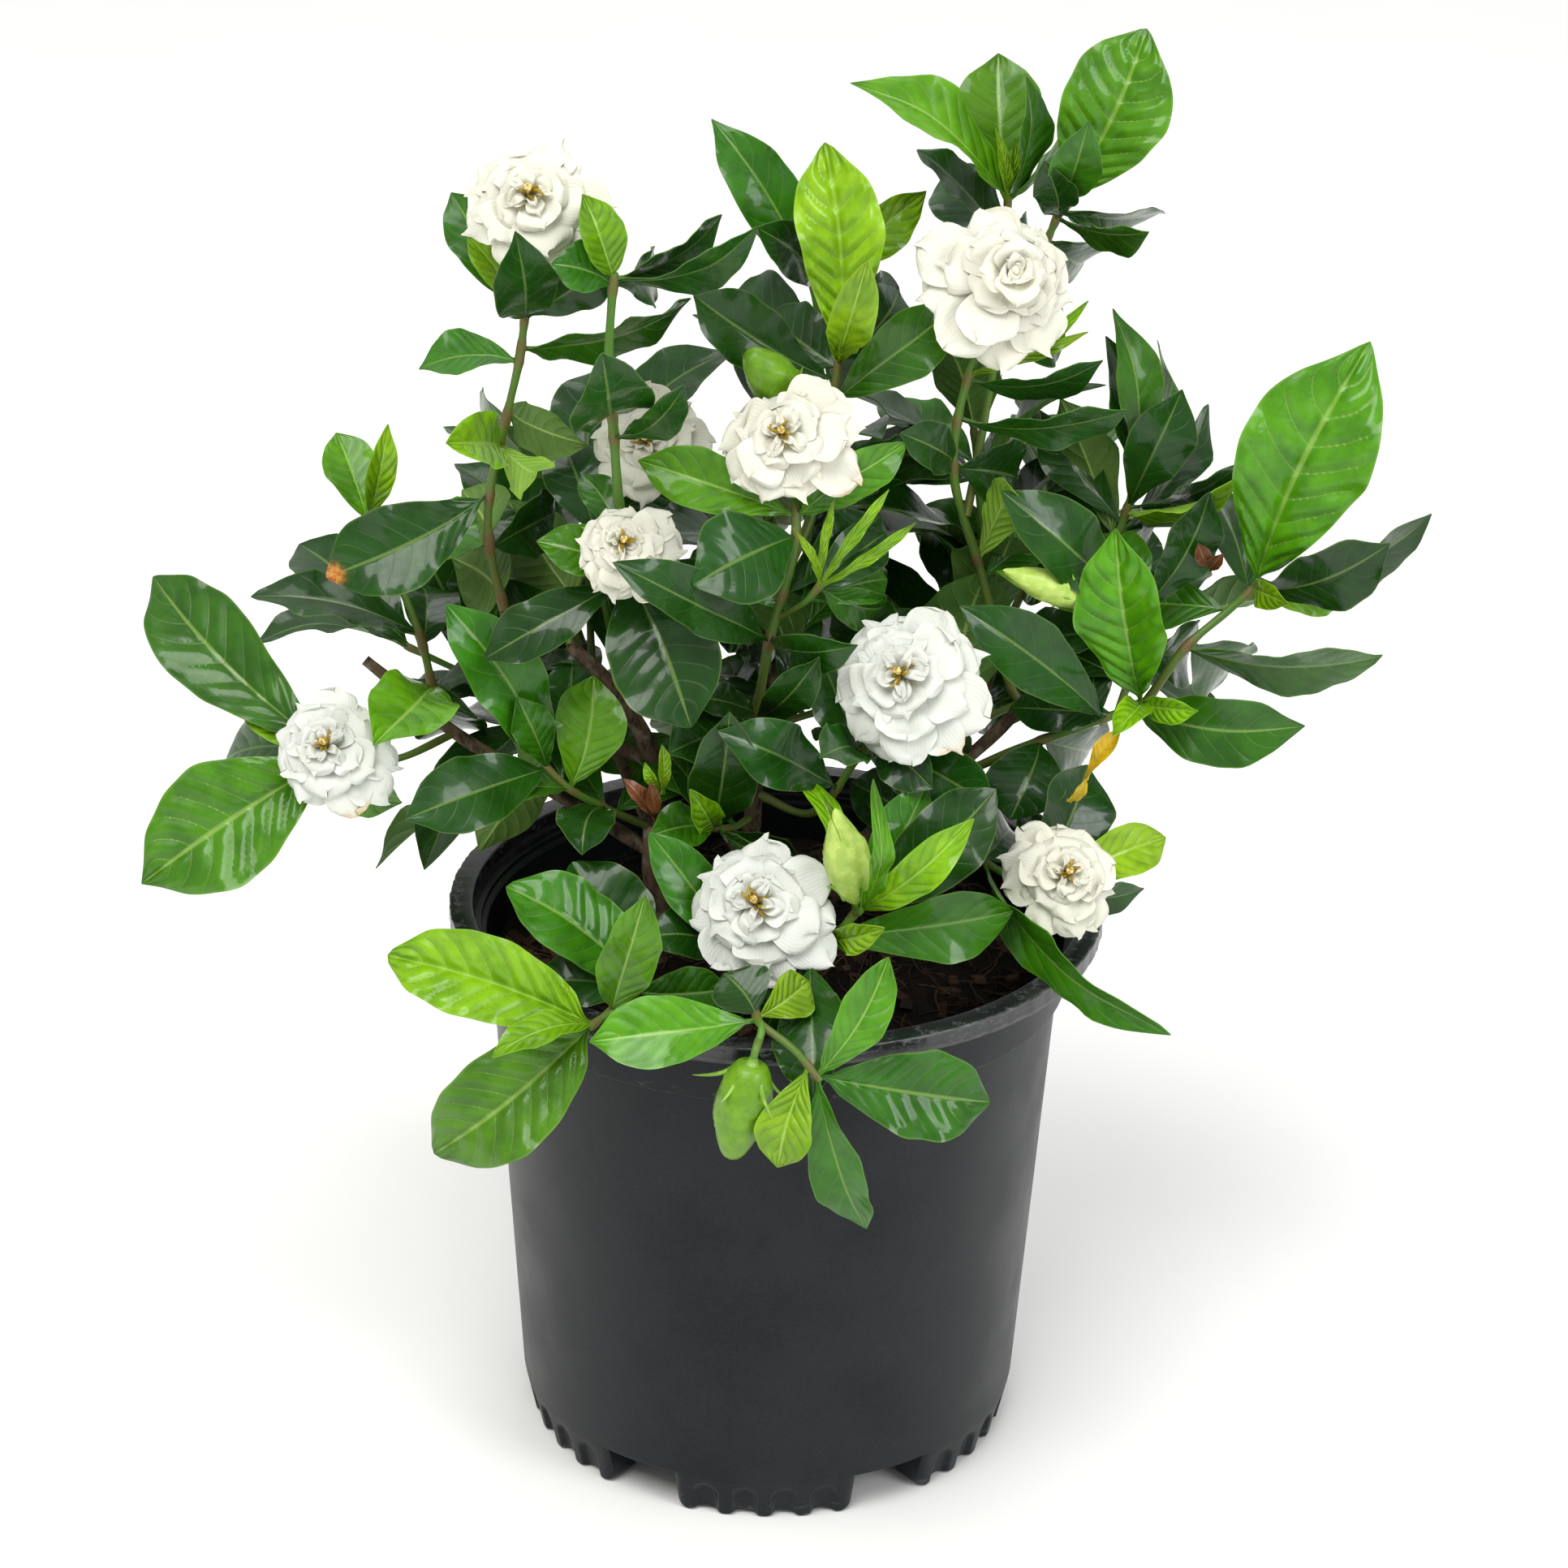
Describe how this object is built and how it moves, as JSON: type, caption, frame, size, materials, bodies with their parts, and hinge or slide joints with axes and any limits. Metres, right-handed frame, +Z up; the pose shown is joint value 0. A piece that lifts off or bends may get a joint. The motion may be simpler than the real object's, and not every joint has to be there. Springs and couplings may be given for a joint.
{
  "type": "potted gardenia",
  "caption": "Bushy flowering evergreen shrub with glossy leaves, buds and double white blooms, standing in a round tapered nursery pot with a rolled rim and notched feet.",
  "frame": {"origin": "on the pot's axis, at the ground that its feet stand on, under the middle of the part's box", "axes": "+Z up; -Y towards the front, the side the blooms face; +X to the right of the front"},
  "size_m": [0.5317, 0.3559, 0.6168],
  "materials": {
    "pot_plastic": "satin",
    "potting_soil": "rough",
    "bark": "rough",
    "leaf": "glossy",
    "petal": "matte",
    "bud": "satin"
  },
  "bodies": {
    "root": {"shoot_left_low": "leaf", "shoot_left_middle": "leaf", "shoot_top_left": "leaf", "shoot_upright": "leaf", "shoot_centre_left": "leaf", "shoot_behind_upright": "leaf", "shoot_centre": "leaf", "shoot_low_centre": "leaf", "shoot_centre_right": "leaf", "shoot_star": "leaf", "shoot_high_middle": "leaf", "shoot_high_back": "leaf", "shoot_high_right": "leaf", "shoot_top_right": "leaf", "shoot_top_far_right": "leaf", "shoot_right": "leaf", "shoot_right_middle": "leaf", "shoot_far_right": "leaf", "shoot_side_right": "leaf", "shoot_low_right": "leaf", "shoot_front": "leaf", "shoot_low_front": "leaf", "shoot_curled": "leaf", "shoot_over_rim": "leaf", "shoot_front_low": "leaf", "shoot_low_left": "leaf", "shoot_low_middle_left": "leaf", "shoot_back_left": "leaf", "shoot_back": "leaf", "shoot_back_right": "leaf", "shoot_side_left": "leaf", "shoot_back_side": "leaf", "shoot_back_low_left": "leaf", "shoot_back_low_right": "leaf", "shoot_back_tall": "leaf", "shoot_back_tall_left": "leaf", "shoot_back_tall_right": "leaf", "shoot_inner_left": "leaf", "shoot_inner_middle": "leaf", "shoot_inner_right": "leaf", "shoot_inner_low": "leaf", "woody_left": "bark", "woody_middle": "bark", "woody_right": "bark", "bloom_1": "petal", "bloom_2": "petal", "bloom_3": "petal", "bloom_4": "petal", "bloom_5": "petal", "bloom_6": "petal", "bloom_7": "petal", "bloom_8": "petal", "bloom_9": "petal", "bloom_10": "petal", "bud_front": "bud", "bud_hanging": "bud", "bud_behind": "bud", "bud_twisted": "bud", "pot": "pot_plastic", "soil": "potting_soil"}
  },
  "joints": []
}
